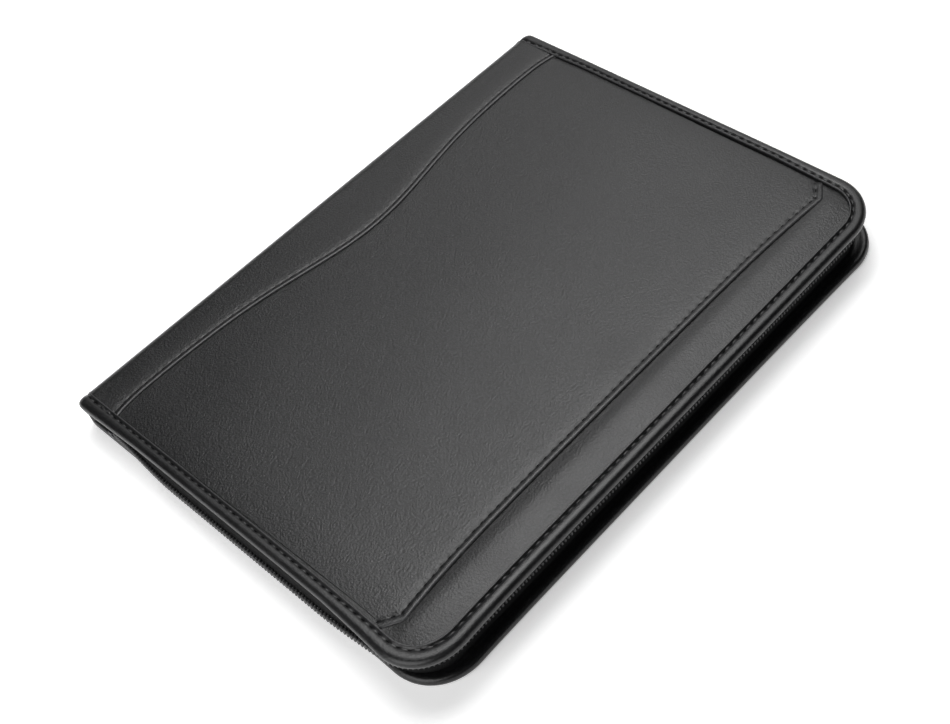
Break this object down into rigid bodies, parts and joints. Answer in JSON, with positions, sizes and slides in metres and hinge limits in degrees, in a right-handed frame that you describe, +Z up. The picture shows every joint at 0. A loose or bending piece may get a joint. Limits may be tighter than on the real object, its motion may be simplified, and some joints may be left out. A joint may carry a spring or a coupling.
{
  "type": "zippered padfolio",
  "caption": "Black leather padfolio with rolled edge binding, a zipper round its open edges, an outside pocket, a wavy spine-side panel and a writing pad inside.",
  "frame": {"origin": "centre of the back cover's outer face, on the surface that the closed padfolio lies on", "axes": "+X from the spine to the fore edge, +Y along the spine to the far end, +Z up"},
  "size_m": [0.26, 0.344, 0.0301],
  "materials": {
    "black_leather": "fine-grained bonded leather, satin",
    "black_lining": "woven lining",
    "padding_foam": "thin padding, hidden",
    "stiffener_board": "grey board, hidden",
    "zipper_tape": "herringbone zipper tape",
    "zipper_coil": "moulded zipper teeth",
    "dark_metal": "black nickel",
    "spring_steel": "spring temper",
    "pad_card": "chipboard",
    "pad_paper": "ruled writing paper",
    "pad_tape": "gummed cloth tape",
    "pen_elastic": "ribbed elastic",
    "window_film": "clear film"
  },
  "bodies": {
    "back_cover": {"back_binding": "black_leather", "back_leather": "black_leather", "back_foam": "padding_foam", "back_board": "stiffener_board", "back_lining": "black_lining", "zipper_tape_back": "zipper_tape", "zipper_chain_back": "zipper_coil", "zipper_stops_back": "dark_metal", "pad_backing_board": "pad_card", "pad_pocket_panel": "black_leather", "pad_paper": "pad_paper", "pad_head_tape": "pad_tape", "pen_loop": "pen_elastic"},
    "spine": {"spine_leather": "black_leather", "spine_strip": "stiffener_board", "spine_lining": "black_lining", "spine_bindings": "black_leather"},
    "front_cover": {"front_binding": "black_leather", "front_leather": "black_leather", "front_foam": "padding_foam", "front_board": "stiffener_board", "front_lining": "black_lining", "wave_panel": "black_leather", "front_pocket_panel": "black_leather", "zipper_tape_front": "zipper_tape", "zipper_chain_front": "zipper_coil", "zipper_stops_front": "dark_metal", "document_pocket": "black_leather", "card_pocket_upper": "black_leather", "card_pocket_middle": "black_leather", "card_pocket_lower": "black_leather", "id_window": "window_film"},
    "zip_slider": {"slider_body": "dark_metal", "slider_crown": "dark_metal", "slider_lock_spring": "spring_steel"},
    "zip_pull": {"pull_tab": "dark_metal"}
  },
  "joints": [
    {"name": "spine_fold", "type": "hinge", "parent": "back_cover", "child": "spine", "pos_m": [-0.12828, 0, 0.00172], "axis": [0, -1, 0], "range_deg": [0, 90]},
    {"name": "front_fold", "type": "hinge", "parent": "spine", "child": "front_cover", "pos_m": [-0.12836, 0, 0.01932], "axis": [0, -1, 0], "range_deg": [0, 87.97]},
    {"name": "zip_slide", "type": "slide", "parent": "back_cover", "child": "zip_slider", "axis": [0.9998, 0, 0.0177], "range_m": [0, 0.1873]},
    {"name": "pull_swing", "type": "hinge", "parent": "zip_slider", "child": "zip_pull", "pos_m": [-0.09566, 0.17214, 0.01106], "axis": [-0.0177, 0, 0.9998], "range_deg": [0, 180]}
  ]
}
